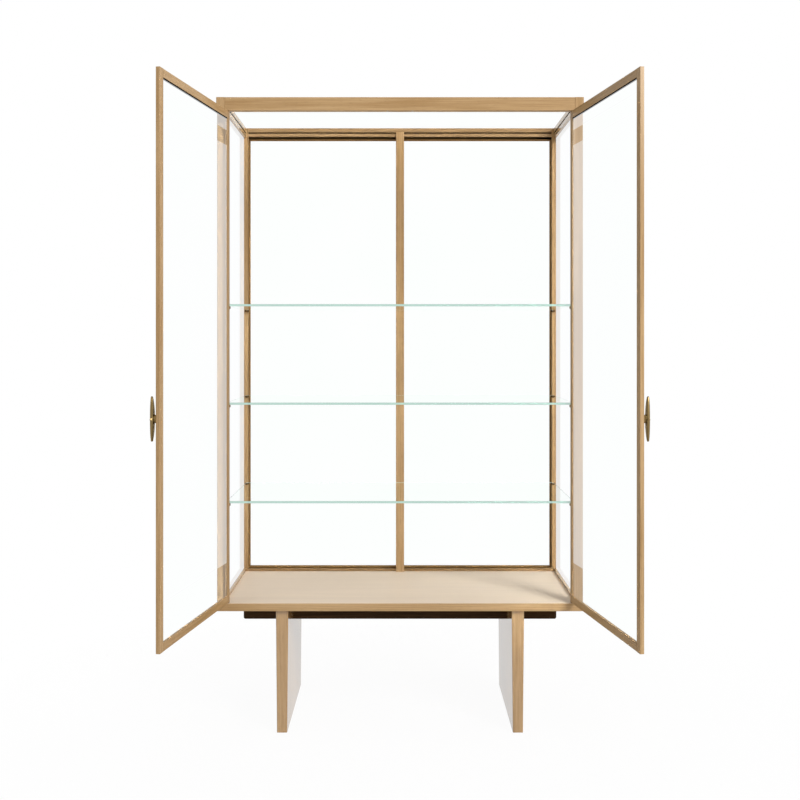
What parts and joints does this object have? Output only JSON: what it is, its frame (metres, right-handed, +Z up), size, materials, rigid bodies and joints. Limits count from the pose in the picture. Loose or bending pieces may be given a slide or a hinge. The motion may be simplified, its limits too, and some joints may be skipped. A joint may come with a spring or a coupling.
{
  "type": "display cabinet",
  "caption": "Tall glazed oak display cabinet with framed glass doors standing open on pivot hinges, clear glass shelves, oval metal handles and slab legs.",
  "frame": {"origin": "middle of the overall footprint with the doors standing open, at the level of the floor under the feet", "axes": "+X to the cabinet's right seen from the front, +Y from the doors towards the back, +Z up"},
  "size_m": [1.1406, 0.8766, 1.735],
  "materials": {
    "oak": "clear matt lacquer on pale oak",
    "dark_oak": "dark-stained oak, matt",
    "beech": "plain beech",
    "clear_glass": "clear float glass",
    "shelf_glass": "clear float glass with polished mint edges",
    "bronze": "satin bronzed brass",
    "steel": "plain steel",
    "magnet": "plated magnet",
    "nylon": "dark nylon",
    "seal": "dark seal strip"
  },
  "bodies": {
    "case": {"back_bottom_bead": "dark_oak", "back_centre_bead": "dark_oak", "back_left_bead": "dark_oak", "back_left_glass": "clear_glass", "back_mullion": "oak", "back_right_bead": "dark_oak", "back_right_glass": "clear_glass", "back_top_bead": "dark_oak", "bearer_screws": "steel", "catch_magnets": "magnet", "floor_panel": "oak", "foot_glides": "nylon", "frame_tenons": "beech", "front_bearer": "dark_oak", "front_left_post": "oak", "front_right_post": "oak", "left_glass": "clear_glass", "left_leg": "oak", "lower_back_rail": "oak", "lower_left_rail": "oak", "lower_right_rail": "oak", "lower_shelf": "shelf_glass", "middle_shelf": "shelf_glass", "pivot_bushes": "nylon", "rear_bearer": "dark_oak", "rear_left_post": "oak", "rear_right_post": "oak", "right_glass": "clear_glass", "right_leg": "oak", "shelf_pins": "steel", "top_back_rail": "oak", "top_front_rail": "oak", "top_glass": "clear_glass", "top_left_rail": "oak", "top_right_rail": "oak", "top_seal": "seal", "upper_back_rail": "oak", "upper_left_rail": "oak", "upper_right_rail": "oak", "upper_shelf": "shelf_glass"},
    "left_door": {"left_hinge_stile": "oak", "left_meeting_stile": "oak", "left_door_top_rail": "oak", "left_door_bottom_rail": "oak", "left_door_glass": "clear_glass", "left_pivot_pins": "steel", "left_handle_leaf": "bronze", "left_handle_stem": "bronze", "left_strike_plate": "steel"},
    "right_door": {"right_hinge_stile": "oak", "right_meeting_stile": "oak", "right_door_top_rail": "oak", "right_door_bottom_rail": "oak", "right_door_glass": "clear_glass", "right_pivot_pins": "steel", "right_handle_leaf": "bronze", "right_handle_stem": "bronze", "right_strike_plate": "steel"}
  },
  "joints": [
    {"name": "left_door_hinge", "type": "hinge", "parent": "case", "child": "left_door", "pos_m": [-0.469, 0.02333, 0.359], "axis": [0, 0, -1], "range_deg": [-100, 5]},
    {"name": "right_door_hinge", "type": "hinge", "parent": "case", "child": "right_door", "pos_m": [0.469, 0.02333, 0.359], "axis": [0, 0, 1], "range_deg": [-100, 5]}
  ]
}
